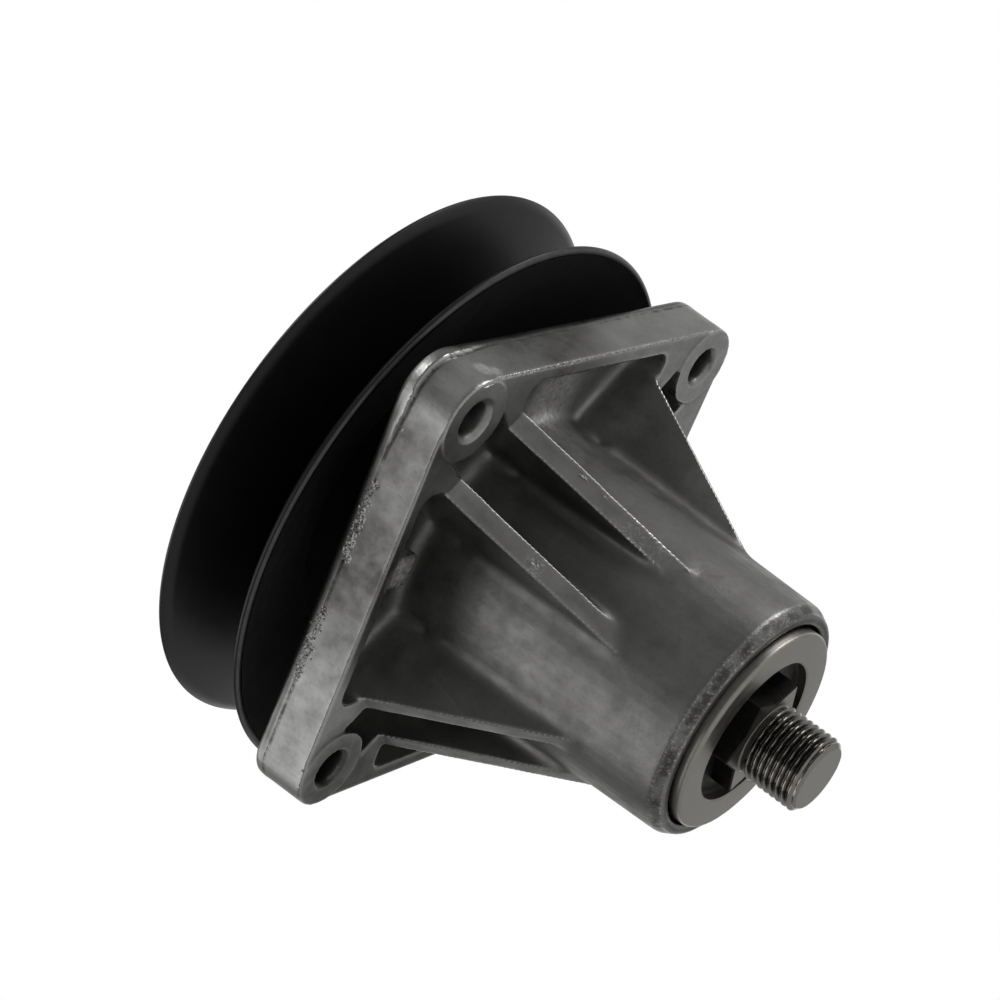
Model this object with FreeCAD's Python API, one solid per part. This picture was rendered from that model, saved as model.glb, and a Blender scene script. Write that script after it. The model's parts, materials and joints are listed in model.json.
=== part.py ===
# Mower deck spindle: a die-cast housing that bolts to the deck at its four corners, a forged
# shaft with a star boss for the blade, two sealed ball bearings and a pressed-steel belt pulley.
# Millimetres. +Z points up the shaft to the pulley. The origin is on the shaft's axis, in the
# plane of the four corner bosses that seat on the deck.
import FreeCAD, Part
import math
import os

from FreeCAD import Vector

# Housing flange
flange_half_width = 48.1
flange_height = 12.4
flange_web_thickness = 3.8
rim_wall = 3.2
rim_set_back = 0.4
rim_draft_deg = 2.0
parting_below_top = 2.0
flange_top_round = 1.6
pocket_corner_radius = 3.0
web_fillet = 2.5

# Corner bosses and bolt holes
bolt_spacing = 78.4
bolt_hole_diameter = 7.4
bolt_countersink_diameter = 9.4
bolt_countersink_depth = 1.0
boss_radius = 8.4
gusset_length = 15.8
pad_width = 7.0
pad_reach = 7.0
pad_set_back = 0.9
pad_place = -6.0

# Core, nose and ribs
core_radius_top = 28.0
nose_radius = 25.9
nose_edge_width = 1.3
nose_edge_height = 2.4
rib_offset = 8.7
rib_thickness = 4.4
rib_taper = 0.5
rib_reach = 47.0
rib_crest_start = 43.3
rib_crest_end_drop = 37.2
rib_root_fillet = 1.5
root_overlap = 0.05

# Shaft
shaft_diameter = 17.0
thread_diameter = 15.875
blade_seat_drop = 59.0
stud_reach = 15.1
thread_end_chamfer = 1.0
stud_neck_diameter = 14.6
stud_neck_length = 1.4
disc_diameter = 43.8
disc_thickness = 5.4
disc_edge_round = 0.9
disc_proud = 2.0
recess_radius = 15.4
recess_depth = 2.5
star_points = 6
star_tip_radius = 12.0
star_valley_radius = 8.6
star_height = 4.5
star_turn_deg = 49.0
shoulder_height = 1.0
shoulder_diameter = 23.0
flat_width = 14.0
thread_above_nut = 2.6

# Ball bearings
bearing_outer_diameter = 40.0
bearing_width = 12.0
ball_count = 8
ball_diameter = 6.747
groove_ratio = 0.52
ball_clearance = 0.02
land_ratio = 0.62
seal_seat_step = 0.95
seal_thickness = 1.2
seal_inset = 0.3
seal_lip_clearance = 0.05
cage_thickness = 1.6
cage_height = 8.3
cage_pocket_clearance = 0.15
seat_clearance = 0.01
upper_bearing_proud = 0.2

# Spacers, washer and nut
bearing_spacer_diameter = 23.0
spacer_clearance = 0.03
pulley_spacer_length = 14.16
pulley_spacer_diameter = 25.4
washer_diameter = 34.0
washer_thickness = 2.5
washer_clearance = 0.3
nut_width = 23.8
nut_height = 13.9
nut_chamfer_deg = 30.0
thread_clearance = 0.05

# Housing bores
bore_middle_step = 2.5
disc_gap = 0.7
disc_top_gap = 0.7
hub_lip = 0.8
hub_wall = 4.6

# Pulley
pulley_diameter = 121.7
sheet_thickness = 1.6
groove_half_angle_deg = 19.0
lip_angle_deg = 55.0
lip_inside_radius = 3.4
root_inside_radius = 2.5
pulley_half_height = 11.2
flat_clearance = 0.04

# Levels along the shaft
blade_seat_z = -blade_seat_drop
stud_end_z = blade_seat_z - stud_reach
recess_floor_z = blade_seat_z + recess_depth
star_face_z = recess_floor_z - star_height
disc_top_z = blade_seat_z + disc_thickness
nose_end_z = blade_seat_z + disc_proud
lower_bearing_z = disc_top_z + shoulder_height
upper_bearing_top_z = flange_height + upper_bearing_proud
upper_bearing_z = upper_bearing_top_z - bearing_width
bearing_spacer_length = upper_bearing_z - lower_bearing_z - bearing_width
web_bottom_z = upper_bearing_top_z + pulley_spacer_length
pulley_middle_z = web_bottom_z + sheet_thickness
web_top_z = pulley_middle_z + sheet_thickness
nut_seat_z = web_top_z + washer_thickness
nut_top_z = nut_seat_z + nut_height
shaft_top_z = nut_top_z + thread_above_nut
flange_web_z = flange_height - flange_web_thickness
hub_top_z = upper_bearing_top_z + hub_lip

bolt_place = bolt_spacing / 2
shaft_radius = shaft_diameter / 2
thread_radius = thread_diameter / 2
bearing_seat_radius = bearing_outer_diameter / 2
bore_middle_radius = bearing_seat_radius - bore_middle_step
ball_radius = ball_diameter / 2
ball_pitch_radius = (shaft_radius + bearing_seat_radius) / 2
outer_land_radius = ball_pitch_radius + land_ratio * ball_radius
inner_land_radius = ball_pitch_radius - land_ratio * ball_radius
seal_seat_radius = outer_land_radius + seal_seat_step
disc_radius = disc_diameter / 2
pulley_radius = pulley_diameter / 2
quarter_turn = 90
axis_z = Vector(0, 0, 1)
origin = Vector(0, 0, 0)


def lathe(points):
    """Turn a closed outline of (radius, height) points about the shaft's axis."""
    corners = [Vector(radius, 0, height) for radius, height in points]
    face = Part.Face(Part.makePolygon(corners + corners[:1]))
    return face.revolve(origin, axis_z, 360)


def lathe_edges(edges):
    """Turn a closed outline made of lines and arcs about the shaft's axis."""
    face = Part.Face(Part.Wire(edges))
    return face.revolve(origin, axis_z, 360)


def line(start, end):
    return Part.LineSegment(start, end).toShape()


def arc(start, middle, end):
    return Part.Arc(start, middle, end).toShape()


def tube(outer_radius, inner_radius, bottom, top):
    return lathe([(inner_radius, bottom), (outer_radius, bottom), (outer_radius, top), (inner_radius, top)])


def turned(shape, degrees):
    copy = shape.copy()
    copy.rotate(origin, axis_z, degrees)
    return copy


def around(shape, count):
    """Copies of a shape, evenly spaced about the shaft's axis."""
    return [turned(shape, 360 / count * index) for index in range(count)]


def block(x_low, x_high, y_low, y_high, z_low, z_high):
    size = Vector(x_high - x_low, y_high - y_low, z_high - z_low)
    return Part.makeBox(size.x, size.y, size.z, Vector(x_low, y_low, z_low))


def rounded_square(half_width, corner_radius, height):
    """Outline of a square with round corners, flat at the given height."""
    edges = []
    inner = half_width - corner_radius
    swing = corner_radius * math.sqrt(0.5)
    for quarter in range(4):
        start = Vector(half_width, -inner, height)
        side_end = Vector(half_width, inner, height)
        corner_middle = Vector(inner + swing, inner + swing, height)
        corner_end = Vector(inner, half_width, height)
        for edge in (line(start, side_end), arc(side_end, corner_middle, corner_end)):
            edges.append(turned(edge, quarter_turn * quarter))
    return Part.Wire(edges)


def drafted_square(half_low, radius_low, z_low, half_high, radius_high, z_high):
    low = rounded_square(half_low, radius_low, z_low)
    high = rounded_square(half_high, radius_high, z_high)
    return Part.makeLoft([low, high], True, True)


# The flange is a square tray, open below: a drafted rim round a flat web.
def flange():
    parting_z = flange_height - parting_below_top
    draft = math.tan(math.radians(rim_draft_deg))
    half_low = flange_half_width - draft * (parting_z - rim_set_back)
    corner = flange_half_width - bolt_place
    corner_low = half_low - bolt_place
    rim = drafted_square(half_low, corner_low, rim_set_back, flange_half_width, corner, parting_z)
    top_outline = Part.Face(rounded_square(flange_half_width, corner, parting_z))
    top = top_outline.extrude(Vector(0, 0, parting_below_top))
    top_edges = [edge for edge in top.Edges if edge.BoundBox.ZMin > flange_height - root_overlap]
    top = top.makeFillet(flange_top_round, top_edges)
    inner_low = half_low - rim_wall
    inner_high = inner_low - draft * (flange_web_z - rim_set_back)
    arm = pocket_arm(inner_low, inner_high)
    return rim.fuse(top).cut([arm, turned(arm, quarter_turn)] + around(corner_slot(), 4))


# The hollow of the tray is a cross, so that a flat gusset stays beside each corner's ribs.
def pocket_arm(half_low, half_high):
    """One arm of the cross from rim to rim, round in its corners and along the web."""
    half_width = bolt_place - gusset_length
    hollow = drafted_square(
        half_low, pocket_corner_radius, rim_set_back, half_high, pocket_corner_radius, flange_web_z
    )
    arm = hollow.common(block(-half_low, half_low, -half_width, half_width, rim_set_back, flange_web_z))
    upright = [edge for edge in arm.Edges if edge.BoundBox.ZLength > root_overlap]
    arm = arm.makeFillet(pocket_corner_radius, upright)
    floor_edges = [edge for edge in arm.Edges if edge.BoundBox.ZMin > flange_web_z - root_overlap]
    return arm.makeFillet(web_fillet, floor_edges)


def corner_slot():
    """The hollow between the two ribs of a corner, up to the boss."""
    half_slot = rib_offset - rib_thickness / 2
    slot = block(0, bolt_place * math.sqrt(2), -half_slot, half_slot, rim_set_back, flange_web_z)
    return turned(slot, quarter_turn / 2)


# Each corner has a round boss with the bolt hole.
def corner_boss():
    place = Vector(bolt_place, bolt_place, 0)
    return Part.makeCylinder(boss_radius, flange_web_z + root_overlap, place)


# A low pad inside one rim, where the mould's ejector pin pushed the casting out.
def ejector_pad():
    rim_inside = flange_half_width - rim_wall
    low_y = pad_place - pad_width / 2
    return block(
        -rim_inside - rim_wall / 2, -rim_inside + pad_reach,
        low_y, low_y + pad_width,
        rim_set_back + pad_set_back, flange_web_z + root_overlap,
    )


def bolt_hole():
    hole_radius = bolt_hole_diameter / 2
    mouth_radius = bolt_countersink_diameter / 2
    hole = lathe([
        (0, -root_overlap),
        (mouth_radius, -root_overlap),
        (mouth_radius, 0),
        (hole_radius, bolt_countersink_depth),
        (hole_radius, flange_height + root_overlap),
        (0, flange_height + root_overlap),
    ])
    hole.translate(Vector(bolt_place, bolt_place, 0))
    return hole


def core_radius(height):
    """The core tapers evenly from the flange's web to the rounded edge of the nose."""
    nose_edge_z = nose_end_z + nose_edge_height
    share = (height - nose_edge_z) / (flange_web_z - nose_edge_z)
    return nose_radius + (core_radius_top - nose_radius) * share


# The core spreads into the web on a fillet.
def core():
    fillet_z = flange_web_z - web_fillet
    fillet_radius = core_radius(fillet_z)
    spread = fillet_radius + web_fillet
    swing = web_fillet * math.sqrt(0.5)
    top_z = flange_web_z + root_overlap
    side = [
        Vector(0, 0, nose_end_z),
        Vector(nose_radius - nose_edge_width, 0, nose_end_z),
        Vector(nose_radius, 0, nose_end_z + nose_edge_height),
        Vector(fillet_radius, 0, fillet_z),
    ]
    top = [Vector(spread, 0, flange_web_z), Vector(spread, 0, top_z), Vector(0, 0, top_z), side[0]]
    edges = [line(start, end) for start, end in zip(side, side[1:])]
    edges.append(arc(side[-1], Vector(spread - swing, 0, fillet_z + swing), top[0]))
    edges += [line(start, end) for start, end in zip(top, top[1:])]
    return lathe_edges(edges)


# A rib side runs parallel to the corner's diagonal and turns into the core on a fillet.
# In the sketch, x runs out along the diagonal and y across it.
def root_fillet(side, away, hub_radius, height):
    """Ends and middle of the fillet between a rib side and the core."""
    center_y = side + away * rib_root_fillet
    center_x = math.sqrt((hub_radius + rib_root_fillet) ** 2 - center_y ** 2)
    center = Vector(center_x, center_y, height)
    on_rib = Vector(center_x, side, height)
    axis = Vector(0, 0, height)
    on_core = axis + (center - axis) * (hub_radius / (hub_radius + rib_root_fillet))
    toward = (on_rib - center) + (on_core - center)
    middle = center + toward.normalize() * rib_root_fillet
    return on_rib, middle, on_core


def rib_pair_points(hub_radius, thickness, height):
    """Fillets and tips of the two ribs of one corner, in order across the diagonal."""
    pair = []
    for side in (-1, 1):
        low = side * rib_offset - thickness / 2
        high = side * rib_offset + thickness / 2
        pair.append((low, root_fillet(low, -1, hub_radius, height)))
        pair.append((high, root_fillet(high, 1, hub_radius, height)))
    return pair


def star_wire(hub_radius, thickness, height):
    """Section through core and ribs: eight ribs, two to a corner, with filleted roots."""
    pair = rib_pair_points(hub_radius, thickness, height)
    edges = []
    for index in (0, 2):
        low_y, low_fillet = pair[index]
        high_y, high_fillet = pair[index + 1]
        tip_low = Vector(rib_reach, low_y, height)
        tip_high = Vector(rib_reach, high_y, height)
        edges.append(arc(low_fillet[2], low_fillet[1], low_fillet[0]))
        edges.append(line(low_fillet[0], tip_low))
        edges.append(line(tip_low, tip_high))
        edges.append(line(tip_high, high_fillet[0]))
        edges.append(arc(high_fillet[0], high_fillet[1], high_fillet[2]))
        if index == 0:
            next_start = pair[2][1][2]
        else:
            next_start = turned(Part.Vertex(pair[0][1][2]), quarter_turn).Point
        between = high_fillet[2] + next_start - Vector(0, 0, 2 * height)
        middle = Vector(0, 0, height) + between.normalize() * hub_radius
        edges.append(arc(high_fillet[2], middle, next_start))
    wires = []
    for quarter in range(4):
        for edge in edges:
            wires.append(turned(edge, quarter_turn / 2 + quarter_turn * quarter))
    return Part.Wire(wires)


def ribs():
    end_z = -rib_crest_end_drop - rib_root_fillet
    low = star_wire(core_radius(end_z) - root_overlap, rib_thickness - rib_taper, end_z)
    top_z = flange_web_z + root_overlap
    high = star_wire(core_radius(top_z) - root_overlap, rib_thickness + rib_taper / 2, top_z)
    star = Part.makeLoft([low, high], True, True)
    return star.common(crest_planes(end_z, top_z))


def crest_planes(end_z, top_z):
    """The sloping crests, as a square pyramid whose sides cross the diagonals."""
    crest_end = core_radius(-rib_crest_end_drop) * math.cos(math.asin(rib_offset / nose_radius))
    slope = (rib_crest_start - crest_end) / (rib_crest_end_drop + rim_set_back)
    half_end = rib_crest_start + slope * (end_z - rim_set_back)
    pyramid = drafted_diamond(half_end, end_z, rib_crest_start, rim_set_back)
    reach = rib_reach * 2
    return pyramid.fuse(block(-reach, reach, -reach, reach, rim_set_back, top_z))


def drafted_diamond(half_low, z_low, half_high, z_high):
    wires = []
    for half, height in ((half_low, z_low), (half_high, z_high)):
        corners = [Vector(half, -half, height), Vector(half, half, height)]
        corners += [Vector(-half, half, height), Vector(-half, -half, height)]
        square = Part.makePolygon(corners + corners[:1])
        wires.append(turned(square, quarter_turn / 2))
    return Part.makeLoft(wires, True, True)


# The bores: a wide mouth for the shaft's disc, a bearing seat at each end and a clear bore between.
def housing_bore():
    mouth_top_z = disc_top_z + disc_top_gap
    seat = bearing_seat_radius + seat_clearance
    above = hub_top_z + root_overlap
    mouth_radius = disc_radius + disc_gap
    return lathe([
        (0, nose_end_z - root_overlap),
        (mouth_radius, nose_end_z - root_overlap),
        (mouth_radius, mouth_top_z),
        (seat, mouth_top_z),
        (seat, lower_bearing_z + bearing_width),
        (bore_middle_radius, lower_bearing_z + bearing_width),
        (bore_middle_radius, upper_bearing_z),
        (seat, upper_bearing_z),
        (seat, above),
        (0, above),
    ])


def housing():
    hub_radius = bearing_seat_radius + hub_wall
    hub = Part.makeCylinder(hub_radius, hub_top_z - flange_web_z, Vector(0, 0, flange_web_z))
    body = flange().multiFuse([core(), ribs(), hub, ejector_pad()] + around(corner_boss(), 4))
    body = body.cut(housing_bore()).cut(Part.makeCompound(around(bolt_hole(), 4)))
    return body.removeSplitter()


# The shaft is one forging: disc, star boss and blade stud below, bearing seats and thread above.
def star_boss():
    corners = []
    step = 180 / star_points
    for index in range(2 * star_points):
        radius = star_valley_radius if index % 2 else star_tip_radius
        angle = math.radians(star_turn_deg + step * index)
        corners.append(Vector(radius * math.cos(angle), radius * math.sin(angle), star_face_z))
    face = Part.Face(Part.makePolygon(corners + corners[:1]))
    return face.extrude(Vector(0, 0, star_height + root_overlap))


def spindle_shaft():
    neck_radius = stud_neck_diameter / 2
    neck_z = star_face_z - stud_neck_length
    chamfered = thread_radius - thread_end_chamfer
    turned_form = lathe([
        (0, stud_end_z),
        (chamfered, stud_end_z),
        (thread_radius, stud_end_z + thread_end_chamfer),
        (thread_radius, neck_z),
        (neck_radius, neck_z),
        (neck_radius, recess_floor_z),
        (recess_radius, recess_floor_z),
        (recess_radius, blade_seat_z),
        (disc_radius - disc_edge_round, blade_seat_z),
        (disc_radius, blade_seat_z + disc_edge_round),
        (disc_radius, disc_top_z),
        (shoulder_diameter / 2, disc_top_z),
        (shoulder_diameter / 2, lower_bearing_z),
        (shaft_radius, lower_bearing_z),
        (shaft_radius, web_top_z - spacer_clearance),
        (thread_radius, web_top_z - spacer_clearance),
        (thread_radius, shaft_top_z - thread_end_chamfer),
        (chamfered, shaft_top_z),
        (0, shaft_top_z),
    ])
    shaft = turned_form.fuse(star_boss())
    for side in around(flat_cutter(), 2):
        shaft = shaft.cut(side)
    return shaft.removeSplitter()


def flat_cutter():
    return block(flat_width / 2, shaft_diameter, -shaft_diameter, shaft_diameter, web_bottom_z, web_top_z)


# A sealed deep-groove bearing: two rings, balls, cage and two seals.
def groove_arc(groove_bottom, direction, middle_z, land_radius):
    """Arc of a race groove, from its lower to its upper edge on the land."""
    groove_radius = ball_diameter * groove_ratio
    center = groove_bottom - direction * groove_radius
    half_height = math.sqrt(groove_radius ** 2 - (land_radius - center) ** 2)
    low = Vector(land_radius, 0, middle_z - half_height)
    high = Vector(land_radius, 0, middle_z + half_height)
    return low, Vector(groove_bottom, 0, middle_z), high


def outer_ring(bottom):
    top = bottom + bearing_width
    groove_bottom = ball_pitch_radius + ball_radius + ball_clearance
    low, middle, high = groove_arc(groove_bottom, 1, bottom + bearing_width / 2, outer_land_radius)
    depth = seal_inset + seal_thickness
    corners = [
        high,
        Vector(outer_land_radius, 0, top - depth),
        Vector(seal_seat_radius, 0, top - depth),
        Vector(seal_seat_radius, 0, top),
        Vector(bearing_seat_radius, 0, top),
        Vector(bearing_seat_radius, 0, bottom),
        Vector(seal_seat_radius, 0, bottom),
        Vector(seal_seat_radius, 0, bottom + depth),
        Vector(outer_land_radius, 0, bottom + depth),
        low,
    ]
    edges = [line(start, end) for start, end in zip(corners, corners[1:])]
    return lathe_edges(edges + [arc(low, middle, high)])


def inner_ring(bottom):
    top = bottom + bearing_width
    groove_bottom = ball_pitch_radius - ball_radius - ball_clearance
    low, middle, high = groove_arc(groove_bottom, -1, bottom + bearing_width / 2, inner_land_radius)
    bore = shaft_radius + seat_clearance
    corners = [
        high,
        Vector(inner_land_radius, 0, top),
        Vector(bore, 0, top),
        Vector(bore, 0, bottom),
        Vector(inner_land_radius, 0, bottom),
        low,
    ]
    edges = [line(start, end) for start, end in zip(corners, corners[1:])]
    return lathe_edges(edges + [arc(low, middle, high)])


def bearing_balls(bottom):
    middle_z = bottom + bearing_width / 2
    ball = Part.makeSphere(ball_radius, Vector(ball_pitch_radius, 0, middle_z))
    return Part.makeCompound(around(ball, ball_count))


def bearing_cage(bottom):
    middle_z = bottom + bearing_width / 2
    half_wall = cage_thickness / 2
    half_height = cage_height / 2
    outer, inner = ball_pitch_radius + half_wall, ball_pitch_radius - half_wall
    ring = tube(outer, inner, middle_z - half_height, middle_z + half_height)
    pocket_start = Vector(ball_pitch_radius - cage_thickness, 0, middle_z)
    pocket = Part.makeCylinder(
        ball_radius + cage_pocket_clearance, 2 * cage_thickness, pocket_start, Vector(1, 0, 0)
    )
    return ring.cut(Part.makeCompound(around(pocket, ball_count)))


def bearing_seal(bottom):
    seal_outer = seal_seat_radius - seat_clearance
    return tube(seal_outer, inner_land_radius + seal_lip_clearance, bottom, bottom + seal_thickness)


def bearing(name, bottom):
    upper_seal_z = bottom + bearing_width - seal_inset - seal_thickness
    return {
        name + "_outer_ring": outer_ring(bottom),
        name + "_inner_ring": inner_ring(bottom),
        name + "_balls": bearing_balls(bottom),
        name + "_cage": bearing_cage(bottom),
        name + "_lower_seal": bearing_seal(bottom + seal_inset),
        name + "_upper_seal": bearing_seal(upper_seal_z),
    }


# Each pulley half is one pressed sheet: flat web, sloping belt flank and a lip curled away from the belt.
def sheet_section(start, steps):
    """Closed outline of a bent sheet. Steps are (length, turn in degrees, inside radius)."""
    point = start
    heading = 0.0
    belt_side = []
    dish_side = []
    for length, turn_deg, inside_radius in steps:
        along = Vector(math.cos(heading), 0, math.sin(heading))
        across = Vector(-math.sin(heading), 0, math.cos(heading)) * sheet_thickness
        end = point + along * length
        belt_side.append(line(point, end))
        dish_side.append(line(point + across, end + across))
        outside_radius = inside_radius + sheet_thickness
        center = end + across.normalize() * outside_radius
        turn = math.radians(turn_deg)
        for edges, radius in ((belt_side, outside_radius), (dish_side, inside_radius)):
            spots = [bend_point(center, radius, heading + turn * share) for share in (0, 0.5, 1)]
            edges.append(arc(spots[0], spots[1], spots[2]))
        heading += turn
        point = bend_point(center, outside_radius, heading)
    last = dish_side[-1].Vertexes[-1].Point
    rim = line(point, last)
    dish_start = dish_side[0].Vertexes[0].Point
    hub = line(dish_start, start)
    return Part.Wire(belt_side + [rim] + list(reversed(dish_side)) + [hub])


def bend_point(center, radius, heading):
    return center + Vector(math.sin(heading), 0, -math.cos(heading)) * radius


def pulley_half():
    """The upper half, with its web's contact face at height zero."""
    groove = math.radians(groove_half_angle_deg)
    lip = math.radians(lip_angle_deg)
    root_radius = root_inside_radius + sheet_thickness
    lip_radius = lip_inside_radius + sheet_thickness
    root_rise = root_radius * (1 - math.cos(groove))
    lip_rise = lip_radius * (math.cos(groove) - math.cos(lip))
    edge_rise = sheet_thickness * math.cos(lip)
    flank_length = (pulley_half_height - root_rise - lip_rise - edge_rise) / math.sin(groove)
    root_run = root_radius * math.sin(groove)
    lip_run = lip_radius * (math.sin(lip) - math.sin(groove))
    web_radius = pulley_radius - lip_run - root_run - flank_length * math.cos(groove)
    sheet_start = shaft_radius / 2
    steps = [
        (web_radius - sheet_start, groove_half_angle_deg, root_inside_radius),
        (flank_length, lip_angle_deg - groove_half_angle_deg, lip_inside_radius),
    ]
    section = sheet_section(Vector(sheet_start, 0, 0), steps)
    half = Part.Face(section).revolve(origin, axis_z, 360)
    round_hole = Part.makeCylinder(shaft_radius + flat_clearance, sheet_thickness)
    half_flat = flat_width / 2 + flat_clearance
    flats = block(-half_flat, half_flat, -shaft_diameter, shaft_diameter, 0, sheet_thickness)
    return half.cut(round_hole.common(flats))


def pulley_upper_half():
    half = pulley_half()
    half.translate(Vector(0, 0, pulley_middle_z))
    return half


def pulley_lower_half():
    half = pulley_half()
    half.rotate(origin, Vector(1, 0, 0), 180)
    half.translate(Vector(0, 0, pulley_middle_z))
    return half


def pulley_nut():
    corner_radius = nut_width / math.sqrt(3)
    corners = []
    for index in range(6):
        angle = math.radians(60 * index)
        corners.append(Vector(corner_radius * math.cos(angle), corner_radius * math.sin(angle), nut_seat_z))
    prism = Part.Face(Part.makePolygon(corners + corners[:1])).extrude(Vector(0, 0, nut_height))
    drop = (corner_radius - nut_width / 2) * math.tan(math.radians(nut_chamfer_deg))
    bore = thread_radius + thread_clearance
    rounding = lathe([
        (bore, nut_seat_z),
        (nut_width / 2, nut_seat_z),
        (corner_radius, nut_seat_z + drop),
        (corner_radius, nut_top_z - drop),
        (nut_width / 2, nut_top_z),
        (bore, nut_top_z),
    ])
    return prism.common(rounding)


def spacer(diameter, bottom, length):
    return tube(diameter / 2, shaft_radius + spacer_clearance, bottom, bottom + length)


nodes = {
    "housing": housing(),
    "spindle_shaft": spindle_shaft(),
    "bearing_spacer": spacer(bearing_spacer_diameter, lower_bearing_z + bearing_width, bearing_spacer_length),
    "pulley_spacer": spacer(pulley_spacer_diameter, upper_bearing_top_z, pulley_spacer_length),
    "pulley_lower_half": pulley_lower_half(),
    "pulley_upper_half": pulley_upper_half(),
    "pulley_washer": tube(washer_diameter / 2, thread_radius + washer_clearance, web_top_z, nut_seat_z),
    "pulley_nut": pulley_nut(),
}
nodes.update(bearing("lower_bearing", lower_bearing_z))
nodes.update(bearing("upper_bearing", upper_bearing_z))

os.makedirs("parts", exist_ok=True)
for name, shape in nodes.items():
    shape.exportStep("parts/" + name + ".step")
    print(name, "solids", len(shape.Solids), "valid", shape.isValid(), "volume", round(shape.Volume, 1))
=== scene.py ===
# %% [markdown]
# # A mower deck spindle
# The part is a die-cast housing with a forged shaft, two hidden ball bearings and a pressed belt
# pulley. The construction model gives every solid at its real size, in metres, with +Z up the shaft.
# This lesson dresses it: soft cast edges, a real thread, smooth pressings and a material for each finish.

import json
import math
import random

import bmesh
import bpy
import numpy as np
from mathutils import Matrix, Vector, noise


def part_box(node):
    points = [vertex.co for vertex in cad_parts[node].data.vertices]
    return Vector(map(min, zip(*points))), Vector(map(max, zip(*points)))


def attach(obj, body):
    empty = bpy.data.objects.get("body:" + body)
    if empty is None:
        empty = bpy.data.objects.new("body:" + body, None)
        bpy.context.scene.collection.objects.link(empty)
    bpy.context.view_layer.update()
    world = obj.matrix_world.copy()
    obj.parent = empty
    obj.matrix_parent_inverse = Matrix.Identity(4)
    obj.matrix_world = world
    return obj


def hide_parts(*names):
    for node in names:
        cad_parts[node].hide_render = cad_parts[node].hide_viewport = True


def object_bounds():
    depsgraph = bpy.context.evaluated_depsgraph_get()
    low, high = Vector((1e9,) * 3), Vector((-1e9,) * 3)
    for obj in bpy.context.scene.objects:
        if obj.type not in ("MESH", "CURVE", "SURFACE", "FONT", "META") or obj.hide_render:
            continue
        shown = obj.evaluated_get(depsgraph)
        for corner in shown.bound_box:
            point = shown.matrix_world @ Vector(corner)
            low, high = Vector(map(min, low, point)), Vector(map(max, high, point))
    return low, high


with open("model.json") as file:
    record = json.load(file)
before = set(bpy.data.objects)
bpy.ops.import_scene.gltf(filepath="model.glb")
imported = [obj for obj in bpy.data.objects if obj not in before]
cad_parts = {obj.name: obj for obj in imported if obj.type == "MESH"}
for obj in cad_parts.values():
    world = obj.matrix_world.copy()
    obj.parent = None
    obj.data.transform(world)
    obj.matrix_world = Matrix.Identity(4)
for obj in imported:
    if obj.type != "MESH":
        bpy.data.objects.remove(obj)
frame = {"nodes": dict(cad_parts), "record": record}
cad_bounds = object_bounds()
MM = 0.001
print("nodes", len(frame["nodes"]), "box in mm", [round(v / MM, 1) for corner in cad_bounds for v in corner])

# %% [markdown]
# ## The camera
# The photo looks up at the spindle from below, with the image's top rolled away from the shaft. A
# camera could be aimed with a tracking constraint, but then the roll is hard to read. Here its place
# and two of its axes are written down, and the third follows from a cross product.

# %% Camera
camera_place = Vector((-0.42857, -0.23599, -0.2162))
image_right = Vector((0.5768, -0.3547, -0.7359)).normalized()
image_up = Vector((0.1629, -0.8328, 0.5291)).normalized()
toward_camera = image_right.cross(image_up).normalized()

camera_data = bpy.data.cameras.new("photo_camera")
camera_data.sensor_width = 36.0
camera_data.lens = 98.065
camera = bpy.data.objects.new("photo_camera", camera_data)
axes = Matrix((image_right, image_up, toward_camera)).transposed()
camera.matrix_world = Matrix.Translation(camera_place) @ axes.to_4x4()
bpy.context.scene.collection.objects.link(camera)
bpy.context.scene.camera = camera
bpy.context.scene.view_settings.view_transform = "Standard"
print("camera looks along", [round(-v, 3) for v in toward_camera])

# %% [markdown]
# ## Helpers for materials
# A colour is given as an sRGB hex value, while shaders work in linear light, so one function
# turns the first into the second. Another adds a node with its settings and links. Every texture
# reads object coordinates, which are the part's own metres, so a pattern's scale is one over its size.

# %% Colour and node helpers
def linear(hex_code):
    """An sRGB hex value as linear red, green, blue and alpha."""
    channels = [int(hex_code[i:i + 2], 16) / 255 for i in (1, 3, 5)]
    return [c / 12.92 if c <= 0.04045 else ((c + 0.055) / 1.055) ** 2.4 for c in channels] + [1.0]


def add(tree, kind, settings=(), links=()):
    """Add a shader node: settings are its properties or fixed inputs, links are its linked inputs."""
    made = tree.nodes.new("ShaderNode" + kind)
    for key, value in dict(settings).items():
        if isinstance(key, str) and hasattr(made, key):
            setattr(made, key, value)
        else:
            made.inputs[key].default_value = value
    for key, source in dict(links).items():
        tree.links.new(source, made.inputs[key])
    return made


def new_material(name):
    """A material with only its shader and its object coordinates: tree, shader, coordinates."""
    made = bpy.data.materials.new(name)
    made.use_nodes = True
    tree = made.node_tree
    shader = tree.nodes["Principled BSDF"]
    place = add(tree, "TexCoord").outputs["Object"]
    return made, tree, shader, place


def axis_distance(tree, place):
    """How far a point lies from the shaft's axis."""
    level = add(tree, "VectorMath", {"operation": "MULTIPLY", 1: (1.0, 1.0, 0.0)}, {0: place})
    return add(tree, "VectorMath", {"operation": "LENGTH"}, {0: level.outputs[0]}).outputs["Value"]


MIX_FACTOR = 0
MIX_FROM = 6
MIX_TO = 7
MIX_RESULT = 2
MULTIPLY = {"operation": "MULTIPLY"}
MAXIMUM = {"operation": "MAXIMUM"}
per_mm = 1 / MM
print("mid grey in linear light", round(linear("#808080")[0], 3))

# %% [markdown]
# ## Die-cast aluminium
# The housing was cast in a steel mould and never painted. Its skin is a mid grey metal with cloudy
# stains where the melt cooled unevenly, a fine grain, and bright metal where edges were rubbed. All of it
# could go into one tangle of nodes. It is easier to follow as coats: a base colour, and over it one coat
# after another, each a hex colour with a share from 0 to 1 that says where it lies. The noises that
# break the coats up come first, from clouds of 14 mm down to a grain of half a millimetre.

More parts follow.
